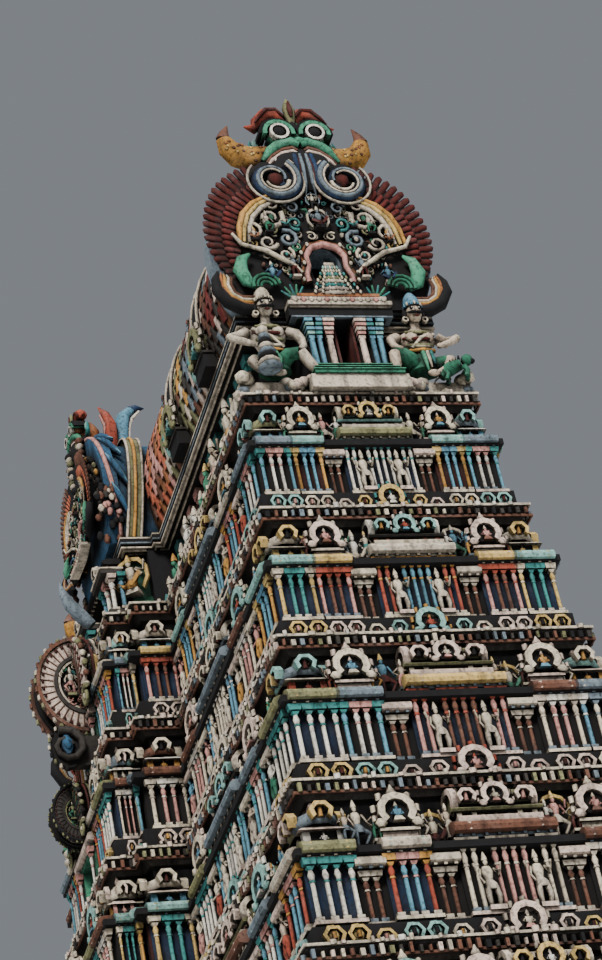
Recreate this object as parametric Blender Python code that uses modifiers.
"""Gopuram: a nine-storey temple gateway tower, modelled at 1:2.

Metres, +Z up. The origin is on the ground under the middle of the tower. X runs across its narrow
width, which is also the way through the gate, and Y runs along its long side. Every size below is
the model's, half of the real one. A plan law gives a half-width from its value at the neck's foot,
its growth per metre below that, and its growth per square metre.
"""
import math

import bmesh
import bpy
from mathutils import Matrix, Vector

GAP = 0.0003                  # between pieces that touch
CUT_PAST = 0.1                # how far a cutter runs past what it cuts

# Plan laws of the seven tiers
END_WIDTH = (1.3985, 0.0801, 0.0064)     # half-width of the narrow ends
SIDE_LENGTH = (5.9, 0.1231, 0.0044)      # half-length of the long sides
BAY_WIDTH = (1.44, 0.065)                # half-width of the middle bay of a long side
PORCH_WIDTH = (1.20, 0.065)              # half-width of that bay's front step
PORCH_REACH = (2.17, 0.154)              # from the centre to the front step's face
BAY_STEP_SHARE = 0.64                    # how far out the bay's first step stands

# Stone storey
STONE_HEIGHT = 5.468
STONE_WIDTH = 4.15
STONE_LENGTH = 8.75
STONE_REACH = 4.75
STONE_PORCH = 2.35
STONE_STEP = 0.30             # the first step of its middle bay
STONE_WALL = 0.75
STONE_SLAB = 0.35
STONE_BELT = 2.4              # height of the moulding half way up
STONE_MOULD = 0.11            # how far its mouldings stand out
STONE_EAVE = 0.22
PLINTH_HEIGHT = 0.18
PLINTH_MARGIN = 0.15
GATE_WIDTH = 1.1              # half-width of the passage
GATE_HEIGHT = 4.0             # ground to the lintels at its two mouths
ROOM_DOOR = 0.45              # half-width of the door from the passage to a side room
ROOM_DOOR_HEIGHT = 2.1

# Tiers
TIER_COUNT = 7
TIER_HEIGHT = 1.776           # the highest tier
TIER_GROWTH = 0.0468          # each lower tier is taller by this share of the highest
CORNICE_SHARE = 0.4846        # how far down a tier its middle cornice runs
WALL = 0.40                   # outer cornice line to the inner face, at the highest tier
WALL_GROWTH = 0.03
NICHE = 0.10                  # how far a wall stands back from the line of its pillars
SETBACK = 0.14                # how far the upper wall stands back behind its row of shrines
OVERHANG = 0.086
CORNICE_HEIGHT = 0.13
FOOT_MOULD = 0.06
FOOT_HEIGHT = 0.26
SLAB = 0.20
WINDOW = 0.30                 # half-width of the highest window in a long side
WINDOW_GROWTH = 0.02
WINDOW_HEIGHT = 0.71
REVEAL = 0.08                 # how much wider than its window the way to it is, each side
LINTEL_SLOPE = 0.01

# Neck and eave
NECK_HEIGHT = 1.175
NECK_WIDTH = 0.95
NECK_LEDGE = 0.63             # ledge before each end, where the guardians sit
NECK_PORCH = 0.74
NECK_REACH = 1.70
NECK_WALL = 0.30
NECK_STEP = 0.20
NECK_FOOT_MOULD = 0.06
NECK_MOULD_HEIGHT = 0.14
NECK_WINDOW = 0.34
NECK_WINDOW_HEIGHT = 0.95
SLIT_WIDTH = 0.13             # half-width of the door slit in the neck's ends
SLIT_FOOT = 0.40
SLIT_HEIGHT = 0.62
EAVE_SLAB = 0.20
EAVE_OVERHANG = 0.10
EAVE_STEP = 0.10

# Vault, gables and dormers
VAULT_HALF = 1.16             # half-width of the great vault at the eave
VAULT_BULGE = 1.27
VAULT_HEIGHT = 2.10
VAULT_OVERSAIL = 0.12         # how far it runs past the neck
VAULT_WALL = 0.20
GABLE_FOOT = 1.10
GABLE_HALF = 1.47
GABLE_RISE = 2.33
GABLE_THICK = 0.38
GABLE_CROWN = 0.16            # half-width of the flat under the lion face
NICHE_ARCH = (0.14, 0.21, 0.55)          # foot, bulge and rise of the opening in an end gable
NICHE_ARCH_FOOT = 0.42
DORMER_HALF = 0.86
DORMER_BULGE = 0.92
DORMER_HEIGHT = 1.95
DORMER_WALL = 0.13
DORMER_CROWN = 0.04
DORMER_REACH = 1.88           # from the centre to the front of a dormer's gable
DORMER_GABLE_FOOT = 0.80
DORMER_GABLE_HALF = 1.05
DORMER_GABLE_RISE = 2.05
DORMER_GABLE_THICK = 0.20
DORMER_WAY = 0.30             # half-width of the way from the vault into a dormer
DORMER_WAY_HEIGHT = 0.70
ARC_STEPS = 14                # straight pieces in half an arch
ARCH_FOOT_TURN = 0.6          # how far below the horizontal an arch's curve starts, in radians
ARCH_FULLNESS = 0.8

# Ridge, lion faces, guardians and porch arches
RIDGE_INSET = 0.25
RIDGE_HALF = 0.10             # half-width of the beam
RIDGE_HEIGHT = 0.12
FINIAL_COUNT = 9
FINIAL_TURNS = 10
FINIAL_SINK = 0.02
FINIAL_PROFILE = [(0.09, 0.0), (0.09, 0.06), (0.05, 0.10), (0.16, 0.26), (0.13, 0.36), (0.05, 0.42),
                  (0.08, 0.50), (0.0, 0.72)]
LION_RISE = 1.152             # gable top to the tip of a great lion face
LION_SKULL = ((0, -0.14, 0.48), (0.46, 0.34, 0.44))      # middle and radii
LION_JAW = ((0, -0.18, 0.0), (0.62, 0.18, 0.34))
LION_COIL = ((0.40, -0.20, -0.24), (0.34, 0.16, 0.36))
LION_SPIKE = [(0.18, 0.5), (0.12, 0.85), (0.0, LION_RISE)]
HORN_MIDDLE = (0.60, 0.37)
HORN_RADII = (0.20, 0.41)     # of its inner arc at the root, and of its outer arc
HORN_TURNS = (-2.4, 0.95)
HORN_THICK = 0.16
HORN_STEPS = 8
DORMER_LION = 0.60            # size of a dormer's lion face, against a great one
DORMER_LION_SET = 0.10        # how far it sits back over its gable
SEAT_CUT = 2.0                # reach of the cut that seats a lion face on its gable
BALL_SEGMENTS = 12
GUARDIAN_ACROSS = 0.92
GUARDIAN_SEAT = (0.40, 0.52, 0.24)       # half-width, depth and height
GUARDIAN_BODY = {             # middle and radii, with +X towards the door
    "hips": ((0, -0.36, 0.46), (0.26, 0.20, 0.26)),
    "body": ((0, -0.48, 0.82), (0.32, 0.16, 0.38)),
    "head": ((0, -0.62, 1.36), (0.16, 0.15, 0.30)),
    "thigh": ((0.22, -0.38, 0.50), (0.32, 0.14, 0.14)),
    "shin": ((0.42, -0.38, 0.31), (0.11, 0.12, 0.30)),
    "near_arm": ((-0.38, -0.46, 0.80), (0.12, 0.12, 0.30)),
    "far_arm": ((0.36, -0.46, 0.80), (0.10, 0.12, 0.30)),
}
ARCH_RADIUS = (0.72, 0.52)    # porch arches of the two highest tiers
ARCH_DEPTH = (0.46, 0.20)
ARCH_BAND = 0.62              # an arch's inner radius, against its outer one
ARCH_LIFT = 0.60              # its centre above the cornice, against its radius
ARCH_STEPS = 16
ARCH_TURN = 0.68

STONE = (0.42, 0.37, 0.31)
PLASTER = (0.62, 0.56, 0.46)
CREAM = (0.72, 0.66, 0.53)
TEAL = (0.13, 0.42, 0.40)
GREEN = (0.10, 0.33, 0.22)
BLUE = (0.10, 0.28, 0.48)
MAROON = (0.28, 0.07, 0.05)
RUST = (0.46, 0.22, 0.10)
GOLD = (0.66, 0.36, 0.08)
PINK = (0.66, 0.40, 0.36)

# Levels and lengths that follow from the sizes above
TIER_HEIGHTS = [TIER_HEIGHT * (1 + TIER_GROWTH * number) for number in range(TIER_COUNT)]
NECK_FOOT = STONE_HEIGHT + sum(TIER_HEIGHTS)
EAVE_FOOT = NECK_FOOT + NECK_HEIGHT
EAVE_TOP = EAVE_FOOT + EAVE_SLAB
NECK_LENGTH = SIDE_LENGTH[0] - NECK_LEDGE
VAULT_LENGTH = NECK_LENGTH + VAULT_OVERSAIL
GABLE_FACE = VAULT_LENGTH + GABLE_THICK
SIDES = (("south", -1), ("north", 1))
FLANKS = (("west", -1), ("east", 1))


def clear_scene():
    for obj in list(bpy.data.objects):
        bpy.data.objects.remove(obj)


def collection(name):
    made = bpy.data.collections.new(name)
    bpy.context.scene.collection.children.link(made)
    return made


def paint(obj, colour, roughness=0.85):
    mat = bpy.data.materials.new(obj.name)
    mat.use_nodes = True
    shader = mat.node_tree.nodes["Principled BSDF"]
    shader.inputs["Base Color"].default_value = (*colour, 1.0)
    shader.inputs["Roughness"].default_value = roughness
    shader.inputs["Metallic"].default_value = 0.0
    obj.data.materials.clear()
    obj.data.materials.append(mat)


def object_from(name, bm, colour=None):
    """Turn a finished bmesh into an object of the tower, or into a cutter when it has no colour."""
    bmesh.ops.recalc_face_normals(bm, faces=bm.faces)
    mesh = bpy.data.meshes.new(name)
    bm.to_mesh(mesh)
    bm.free()
    obj = bpy.data.objects.new(name, mesh)
    if colour is None:
        CUTTERS.objects.link(obj)
        obj.hide_render = True
        obj.display_type = "WIRE"
    else:
        TOWER.objects.link(obj)
        paint(obj, colour)
    return obj


def stack(name, sections, colour):
    """Raise one outline through its sections, each a height and as many points as the first."""
    bm = bmesh.new()
    height, outline = sections[0]
    bottom = top = bm.faces.new([bm.verts.new((x, y, height)) for x, y in outline])
    for height, outline in sections[1:]:
        raised = bmesh.ops.extrude_face_region(bm, geom=[top])
        if top is not bottom:
            bmesh.ops.delete(bm, geom=[top], context="FACES_ONLY")
        top = next(item for item in raised["geom"] if isinstance(item, bmesh.types.BMFace))
        for loop, (x, y) in zip(top.loops, outline):
            loop.vert.co = (x, y, height)
    return object_from(name, bm, colour)


def box(name, first, second, colour=None):
    """A box between two opposite corners."""
    bm = bmesh.new()
    size = [abs(b - a) for a, b in zip(first, second)]
    middle = (Vector(first) + Vector(second)) / 2
    shape = Matrix.Translation(middle) @ Matrix.Diagonal((*size, 1.0))
    bmesh.ops.create_cube(bm, size=1.0, matrix=shape)
    return object_from(name, bm, colour)


def ball(name, middle, radii, colour=None):
    bm = bmesh.new()
    shape = Matrix.Translation(middle) @ Matrix.Diagonal((*radii, 1.0))
    rows = BALL_SEGMENTS // 2
    bmesh.ops.create_uvsphere(bm, u_segments=BALL_SEGMENTS, v_segments=rows, radius=1.0, matrix=shape)
    return object_from(name, bm, colour)


def turned(name, profile):
    """A solid of revolution as a cutter, from radii and heights that run up to a point on the axis."""
    bm = bmesh.new()
    verts = [bm.verts.new((0, 0, profile[0][1]))]
    verts += [bm.verts.new((radius, 0, height)) for radius, height in profile]
    edges = [bm.edges.new(pair) for pair in zip(verts, verts[1:])]
    upright, centre = (0, 0, 1), (0, 0, 0)
    bmesh.ops.spin(bm, geom=verts + edges, axis=upright, cent=centre, steps=FINIAL_TURNS, angle=math.tau)
    bmesh.ops.remove_doubles(bm, verts=bm.verts, dist=0.0001)
    return object_from(name, bm)


def flat_solid(name, rings, thick, colour=None):
    """An outline with its openings, drawn in X and Z and extruded along Y about its own middle."""
    curve = bpy.data.curves.new(name, "CURVE")
    curve.dimensions = "2D"
    curve.fill_mode = "BOTH"
    curve.extrude = thick / 2
    for ring in rings:
        spline = curve.splines.new("POLY")
        spline.points.add(len(ring) - 1)
        for point, (x, z) in zip(spline.points, ring):
            point.co = (x, z, 0.0, 1.0)
        spline.use_cyclic_u = True
    flat = bpy.data.objects.new(name, curve)
    TOWER.objects.link(flat)
    bpy.context.view_layer.update()
    mesh = bpy.data.meshes.new_from_object(flat.evaluated_get(bpy.context.evaluated_depsgraph_get()))
    bpy.data.objects.remove(flat)
    bm = bmesh.new()
    bm.from_mesh(mesh)
    bmesh.ops.remove_doubles(bm, verts=bm.verts, dist=0.0001)
    bmesh.ops.rotate(bm, verts=bm.verts, cent=(0, 0, 0), matrix=Matrix.Rotation(math.pi / 2, 3, "X"))
    return object_from(name, bm, colour)


def boolean(obj, tool, operation):
    mod = obj.modifiers.new(tool.name, "BOOLEAN")
    mod.object = tool
    mod.operation = operation


def place(obj, location, turn=0.0):
    obj.location = location
    obj.rotation_euler = (0.0, 0.0, turn)
    return obj


def at_depth(law, depth):
    return sum(factor * depth ** power for power, factor in enumerate(law))


def plan_at(height):
    """The tower's plan at a height: half-widths, half-length and the two steps of the middle bay."""
    depth = NECK_FOOT - height
    width = at_depth(END_WIDTH, depth)
    reach = at_depth(PORCH_REACH, depth)
    return {
        "width": width,
        "length": at_depth(SIDE_LENGTH, depth),
        "bay": at_depth(BAY_WIDTH, depth),
        "step": width + (reach - width) * BAY_STEP_SHARE,
        "porch": at_depth(PORCH_WIDTH, depth),
        "reach": reach,
    }


def outer_corners(plan, offset):
    """One quarter of the outline, from the front step round to the narrow end's corner."""
    return [
        (plan["reach"] + offset, plan["porch"] + offset),
        (plan["step"] + offset, plan["porch"] + offset),
        (plan["step"] + offset, plan["bay"] + offset),
        (plan["width"] + offset, plan["bay"] + offset),
        (plan["width"] + offset, plan["length"] + offset),
    ]


def across(points):
    """The same points on the other flank, in the order that goes on round the tower."""
    return [(-x, y) for x, y in reversed(points)]


def full_outline(plan, offset):
    quarter = outer_corners(plan, offset)
    half = quarter + across(quarter)
    return half + [(-x, -y) for x, y in half]


def solid_outline(plan, offset, jamb):
    """Half of the plan, closed along the passage."""
    outer = [(plan["reach"] + offset, jamb)] + outer_corners(plan, offset)
    return outer + across(outer)


def wall_outline(plan, offset, wall, jamb, way):
    """Half of a storey's wall, U-shaped, from one long side's window round to the other's."""
    outer = [(plan["reach"] + offset, jamb)] + outer_corners(plan, offset)
    inner = [
        (plan["width"] - wall, plan["length"] - wall),
        (plan["width"] - wall, way),
        (plan["reach"] - wall, way),
        (plan["reach"] - wall, jamb),
    ]
    return outer + across(outer) + across(inner) + inner


def sided(sections, side):
    return [(height, [(x, y * side) for x, y in outline]) for height, outline in sections]


def stone_plan():
    return {
        "width": STONE_WIDTH, "length": STONE_LENGTH, "bay": STONE_PORCH + STONE_STEP,
        "step": STONE_WIDTH + STONE_STEP, "porch": STONE_PORCH, "reach": STONE_REACH,
    }


def stone_storey():
    """Plinth, the two stone masses beside the passage, the lintels at its mouths and the ceiling."""
    plan = stone_plan()
    top = STONE_HEIGHT
    ceiling = top - STONE_SLAB
    foot = full_outline(plan, PLINTH_MARGIN)
    stack("plinth", [(0.0, foot), (PLINTH_HEIGHT, foot)], STONE)
    for word, side in SIDES:
        stone_wall(word, side, plan, ceiling)
    for word, side in FLANKS:
        near = (side * (STONE_REACH - STONE_WALL), -GATE_WIDTH + GAP, GATE_HEIGHT)
        far = (side * STONE_REACH, GATE_WIDTH - GAP, ceiling - GAP)
        box(f"{word}_gate_lintel", near, far, STONE)
    profile = [(ceiling, 0.0), (ceiling + 0.12, STONE_EAVE), (top - 0.1, STONE_EAVE * 0.7), (top, 0.02)]
    stack("stone_ceiling", [(level, full_outline(plan, offset)) for level, offset in profile], STONE)


def stone_wall(word, side, plan, ceiling):
    foot = PLINTH_HEIGHT + GAP
    profile = [
        (foot, STONE_MOULD), (foot + 0.55, STONE_MOULD), (foot + 0.75, 0.0),
        (STONE_BELT - 0.05, 0.0), (STONE_BELT + 0.05, STONE_MOULD), (STONE_BELT + 0.25, STONE_MOULD / 2),
        (STONE_BELT + 0.35, 0.0), (ceiling - 0.75, 0.0), (ceiling - 0.6, STONE_MOULD),
        (ceiling - 0.4, STONE_MOULD / 2), (ceiling - GAP, 0.0),
    ]
    sections = [(level, solid_outline(plan, offset, GATE_WIDTH)) for level, offset in profile]
    wall = stack(f"stone_{word}_wall", sided(sections, side), STONE)
    inside = plan["width"] - STONE_WALL
    room_wall = GATE_WIDTH + STONE_WALL
    room_end = plan["length"] - STONE_WALL
    room = box(f"{word}_room", (-inside, side * room_wall, 0), (inside, side * room_end, STONE_HEIGHT))
    near = (-ROOM_DOOR, side * (GATE_WIDTH - CUT_PAST), 0)
    far = (ROOM_DOOR, side * (room_wall + CUT_PAST), ROOM_DOOR_HEIGHT)
    door = box(f"{word}_room_door", near, far)
    boolean(wall, room, "DIFFERENCE")
    boolean(wall, door, "DIFFERENCE")


def tiers():
    """The tiers from the highest down, each with two walls and the floor slab that they carry."""
    top = NECK_FOOT
    for number, height in enumerate(TIER_HEIGHTS):
        tier_walls(number, top - height, top)
        tier_slab(number, top)
        top -= height


def tier_walls(number, foot, top):
    cornice = top - (top - foot) * CORNICE_SHARE
    low, high = plan_at(cornice), plan_at(top)
    wall = WALL + WALL_GROWTH * number
    jamb = WINDOW + WINDOW_GROWTH * number
    lintel = foot + WINDOW_HEIGHT
    profile = [
        (foot + GAP, low, FOOT_MOULD, jamb),
        (foot + FOOT_HEIGHT, low, FOOT_MOULD, jamb),
        (foot + FOOT_HEIGHT + 0.02, low, -NICHE, jamb),
        (lintel, low, -NICHE, jamb),
        (lintel + LINTEL_SLOPE, low, -NICHE, GAP / 2),
        (cornice - 0.05, low, -NICHE, GAP / 2),
        (cornice, low, OVERHANG, GAP / 2),
        (cornice + CORNICE_HEIGHT * 0.6, low, OVERHANG, GAP / 2),
        (cornice + CORNICE_HEIGHT, high, -SETBACK, GAP / 2),
        (top - SLAB - GAP, high, -SETBACK, GAP / 2),
    ]
    sections = [(level, wall_outline(plan, offset, wall, edge, jamb + REVEAL))
                for level, plan, offset, edge in profile]
    for word, side in SIDES:
        stack(f"tier_{number + 1}_{word}_wall", sided(sections, side), PLASTER)


def tier_slab(number, top):
    plan = plan_at(top)
    profile = [(top - SLAB, -0.09), (top - SLAB * 0.6, -0.04), (top - SLAB * 0.3, 0.045), (top, 0.045)]
    sections = [(level, full_outline(plan, offset)) for level, offset in profile]
    stack(f"tier_{number + 1}_cornice", sections, CREAM)


def neck():
    """The neck's two walls, with a window in each flank and a door slit in each end."""
    plan = {
        "width": NECK_WIDTH, "length": NECK_LENGTH, "bay": NECK_PORCH + NECK_STEP,
        "step": NECK_WIDTH + (NECK_REACH - NECK_WIDTH) * BAY_STEP_SHARE,
        "porch": NECK_PORCH, "reach": NECK_REACH,
    }
    mould = NECK_FOOT + NECK_MOULD_HEIGHT
    lintel = NECK_FOOT + NECK_WINDOW_HEIGHT
    profile = [
        (NECK_FOOT + GAP, NECK_FOOT_MOULD, NECK_WINDOW), (mould, NECK_FOOT_MOULD, NECK_WINDOW),
        (mould + 0.04, 0.0, NECK_WINDOW), (lintel, 0.0, NECK_WINDOW),
        (lintel + LINTEL_SLOPE, 0.0, GAP / 2), (EAVE_FOOT - GAP, 0.0, GAP / 2),
    ]
    sections = [(level, wall_outline(plan, offset, NECK_WALL, edge, NECK_WINDOW + REVEAL))
                for level, offset, edge in profile]
    sill = NECK_FOOT + SLIT_FOOT
    for word, side in SIDES:
        wall = stack(f"neck_{word}_wall", sided(sections, side), PLASTER)
        near = (-SLIT_WIDTH, side * (NECK_LENGTH - NECK_WALL - CUT_PAST), sill)
        far = (SLIT_WIDTH, side * (NECK_LENGTH + CUT_PAST), sill + SLIT_HEIGHT)
        boolean(wall, box(f"{word}_slit", near, far), "DIFFERENCE")


def eave():
    """The slab that carries the vault, with an arm under each dormer."""
    plan = {
        "width": VAULT_HALF, "length": VAULT_LENGTH + GABLE_THICK / 2, "bay": DORMER_HALF + EAVE_STEP,
        "step": VAULT_HALF + EAVE_STEP, "porch": DORMER_HALF, "reach": DORMER_REACH - DORMER_GABLE_THICK,
    }
    profile = [
        (EAVE_FOOT, -0.05), (EAVE_FOOT + 0.07, EAVE_OVERHANG), (EAVE_TOP - 0.04, EAVE_OVERHANG),
        (EAVE_TOP, 0.06),
    ]
    stack("eave", [(level, full_outline(plan, offset)) for level, offset in profile], GREEN)


def half_arch(foot, bulge, rise, crown=0.0):
    """Half of a horseshoe in X and Z: from its foot out to the bulge and up to its crown."""
    points = []
    pull = bulge * math.cos(ARCH_FOOT_TURN) ** ARCH_FULLNESS - foot
    for step in range(ARC_STEPS + 1):
        share = step / ARC_STEPS
        turn = share * (math.pi / 2 + ARCH_FOOT_TURN) - ARCH_FOOT_TURN
        out = bulge * max(math.cos(turn), 0.0) ** ARCH_FULLNESS - pull * (1 - share) ** 2
        up = (math.sin(turn) + math.sin(ARCH_FOOT_TURN)) / (1 + math.sin(ARCH_FOOT_TURN))
        points.append((max(out, crown), up * rise))
    return points


def whole(half):
    return half + [(-x, z) for x, z in reversed(half) if x > 0.0]


def barrel(name, outline, start, end, colour=None, shell=None):
    """A vault along Y over an outline in X and Z: solid, or a shell of the given thickness."""
    bm = bmesh.new()
    verts = [bm.verts.new((x, start, z)) for x, z in outline]
    if shell is None:
        grown = bmesh.ops.extrude_face_region(bm, geom=[bm.faces.new(verts)])
    else:
        edges = [bm.edges.new(pair) for pair in zip(verts, verts[1:])]
        grown = bmesh.ops.extrude_edge_only(bm, edges=edges)
    moved = [item for item in grown["geom"] if isinstance(item, bmesh.types.BMVert)]
    bmesh.ops.translate(bm, verts=moved, vec=(0, end - start, 0))
    vault = object_from(name, bm, colour)
    if shell is not None:
        thick = vault.modifiers.new("thickness", "SOLIDIFY")
        thick.thickness = shell
        thick.offset = -1.0
        thick.use_even_offset = True
    return vault


def roof():
    """The great vault with its end gables, and the dormers cut to fit it."""
    half = half_arch(VAULT_HALF, VAULT_BULGE, VAULT_HEIGHT, RIDGE_HALF / 2)
    springing = (0, 0, EAVE_TOP + GAP)
    vault = barrel("vault", whole(half), -VAULT_LENGTH + GAP, VAULT_LENGTH - GAP, RUST, VAULT_WALL)
    near = (-DORMER_REACH, -DORMER_WAY, EAVE_TOP - CUT_PAST)
    far = (DORMER_REACH, DORMER_WAY, EAVE_TOP + DORMER_WAY_HEIGHT)
    boolean(place(vault, springing), box("dormer_way", near, far), "DIFFERENCE")
    clear = [(half[0][0] + 2 * GAP, -0.05)] + [(x + 2 * GAP, z + 2 * GAP) for x, z in half]
    body = place(barrel("vault_body", whole(clear), -VAULT_LENGTH, VAULT_LENGTH), springing)
    for word, side in SIDES:
        end_gable(word, side)
    for word, side in FLANKS:
        dormer(word, side, body)


def end_gable(word, side):
    outer = whole(half_arch(GABLE_FOOT, GABLE_HALF, GABLE_RISE, GABLE_CROWN))
    hole = [(x, z + NICHE_ARCH_FOOT) for x, z in whole(half_arch(*NICHE_ARCH))]
    gable = flat_solid(f"{word}_gable", [outer, hole], GABLE_THICK, MAROON)
    place(gable, (0, side * (GABLE_FACE - GABLE_THICK / 2), EAVE_TOP + GAP))


def dormer(word, side, body):
    quarter = side * math.pi / 2
    outline = whole(half_arch(DORMER_HALF, DORMER_BULGE, DORMER_HEIGHT, DORMER_CROWN))
    mouth = GAP - DORMER_REACH + DORMER_GABLE_THICK
    vault = barrel(f"{word}_dormer_vault", outline, mouth, 0.0, BLUE, DORMER_WALL)
    boolean(place(vault, (0, 0, EAVE_TOP + GAP), quarter), body, "DIFFERENCE")
    crown = GABLE_CROWN * DORMER_LION
    front = whole(half_arch(DORMER_GABLE_FOOT, DORMER_GABLE_HALF, DORMER_GABLE_RISE, crown))
    gable = flat_solid(f"{word}_dormer_gable", [front], DORMER_GABLE_THICK, MAROON)
    place(gable, (side * (DORMER_REACH - DORMER_GABLE_THICK / 2), 0, EAVE_TOP + GAP), quarter)


def ridge():
    """The ridge beam and the row of pot finials on it."""
    foot = EAVE_TOP + VAULT_HEIGHT + 2 * GAP
    half_length = VAULT_LENGTH - RIDGE_INSET
    far = (RIDGE_HALF, half_length, foot + RIDGE_HEIGHT)
    beam = box("ridge", (-RIDGE_HALF, -half_length, foot), far, GOLD)
    spacing = 2 * half_length / FINIAL_COUNT
    for number in range(FINIAL_COUNT):
        along = (number + 0.5) * spacing - half_length
        pot = turned(f"finial_{number + 1}", FINIAL_PROFILE)
        boolean(beam, place(pot, (0, along, foot + RIDGE_HEIGHT - FINIAL_SINK)), "UNION")


def horn(side, size):
    """A horn's outline: two arcs about one centre, which meet at its tip."""
    start, end = HORN_TURNS
    inner, outer = HORN_RADII
    turns = [start + (end - start) * step / HORN_STEPS for step in range(HORN_STEPS + 1)]
    radii = [inner + (outer - inner) * step / HORN_STEPS for step in range(HORN_STEPS)]
    back = [(turn, outer) for turn in turns]
    front = list(zip(turns, radii))[::-1]
    points = []
    for turn, radius in back + front:
        across, up = HORN_MIDDLE[0] + radius * math.cos(turn), HORN_MIDDLE[1] + radius * math.sin(turn)
        points.append((side * size * across, size * up))
    return points


def scaled_ball(name, size, middle, radii, set_back, colour=None):
    x, y, z = [size * value for value in middle]
    return ball(name, (x, y + set_back, z), [size * value for value in radii], colour)


def lion_face(name, size, set_back, location, turn):
    """The horned lion face that sits astride the crown of a gable, in its own frame facing -Y."""
    face = scaled_ball(name, size, *LION_SKULL, set_back, TEAL)
    parts = [
        scaled_ball(f"{name}_jaw", size, *LION_JAW, set_back),
        turned(f"{name}_spike", [(size * radius, size * height) for radius, height in LION_SPIKE]),
    ]
    for side in (-1, 1):
        (x, y, z), radii = LION_COIL
        parts.append(scaled_ball(f"{name}_coil_{side}", size, (side * x, y, z), radii, set_back))
        parts.append(flat_solid(f"{name}_horn_{side}", [horn(side, size)], HORN_THICK * size))
    for part in parts:
        boolean(face, place(part, location, turn), "UNION")
    seat = box(f"{name}_seat", (-SEAT_CUT, -GAP, -SEAT_CUT), (SEAT_CUT, SEAT_CUT, GAP))
    boolean(place(face, location, turn), place(seat, location, turn), "DIFFERENCE")


def lion_faces():
    for word, side in SIDES:
        at = (0, side * GABLE_FACE, EAVE_TOP + GABLE_RISE + GAP)
        lion_face(f"{word}_lion_face", 1.0, 0.0, at, (side + 1) * math.pi / 2)
    for word, side in FLANKS:
        at = (side * DORMER_REACH, 0, EAVE_TOP + DORMER_GABLE_RISE + GAP)
        lion_face(f"{word}_lion_face", DORMER_LION, DORMER_LION_SET, at, side * math.pi / 2)


def guardian(name, lean, location, turn):
    """A seated door guardian in a frame facing -Y, with one leg towards the door."""
    width, depth, height = GUARDIAN_SEAT
    seat = box(name, (-width, -depth, 0), (width, 0, height), CREAM)
    for word, ((x, y, z), radii) in GUARDIAN_BODY.items():
        part = ball(f"{name}_{word}", (lean * x, y, z), radii)
        boolean(seat, place(part, location, turn), "UNION")
    place(seat, location, turn)


def guardians():
    """Two guardians before each end of the neck, named as seen from in front of them."""
    back = NECK_LENGTH + NECK_FOOT_MOULD + GAP
    for word, side in SIDES:
        for hand, lean in (("left", 1), ("right", -1)):
            at = (side * lean * GUARDIAN_ACROSS, side * back, NECK_FOOT + GAP)
            guardian(f"{word}_{hand}_guardian", lean, at, (side + 1) * math.pi / 2)


def porch_arches():
    """The ribbed horseshoe arches on the front of the middle bay, on the two highest tiers."""
    turns = [(math.pi + 2 * ARCH_TURN) * step / ARCH_STEPS - ARCH_TURN for step in range(ARCH_STEPS + 1)]
    top = NECK_FOOT
    for number, (radius, depth) in enumerate(zip(ARCH_RADIUS, ARCH_DEPTH)):
        cornice = top - TIER_HEIGHTS[number] * CORNICE_SHARE
        middle = plan_at(cornice)["reach"] + OVERHANG + depth / 2 + GAP
        outer = [(radius * math.cos(turn), radius * math.sin(turn)) for turn in turns]
        inner = [(x * ARCH_BAND, z * ARCH_BAND) for x, z in reversed(outer)]
        for word, side in FLANKS:
            arch = flat_solid(f"{word}_arch_{number + 1}", [outer + inner], depth, PINK)
            place(arch, (side * middle, 0, cornice + radius * ARCH_LIFT), math.pi / 2)
        top -= TIER_HEIGHTS[number]


clear_scene()
TOWER = collection("gopuram")
CUTTERS = collection("cutters")
stone_storey()
tiers()
neck()
eave()
roof()
ridge()
lion_faces()
guardians()
porch_arches()
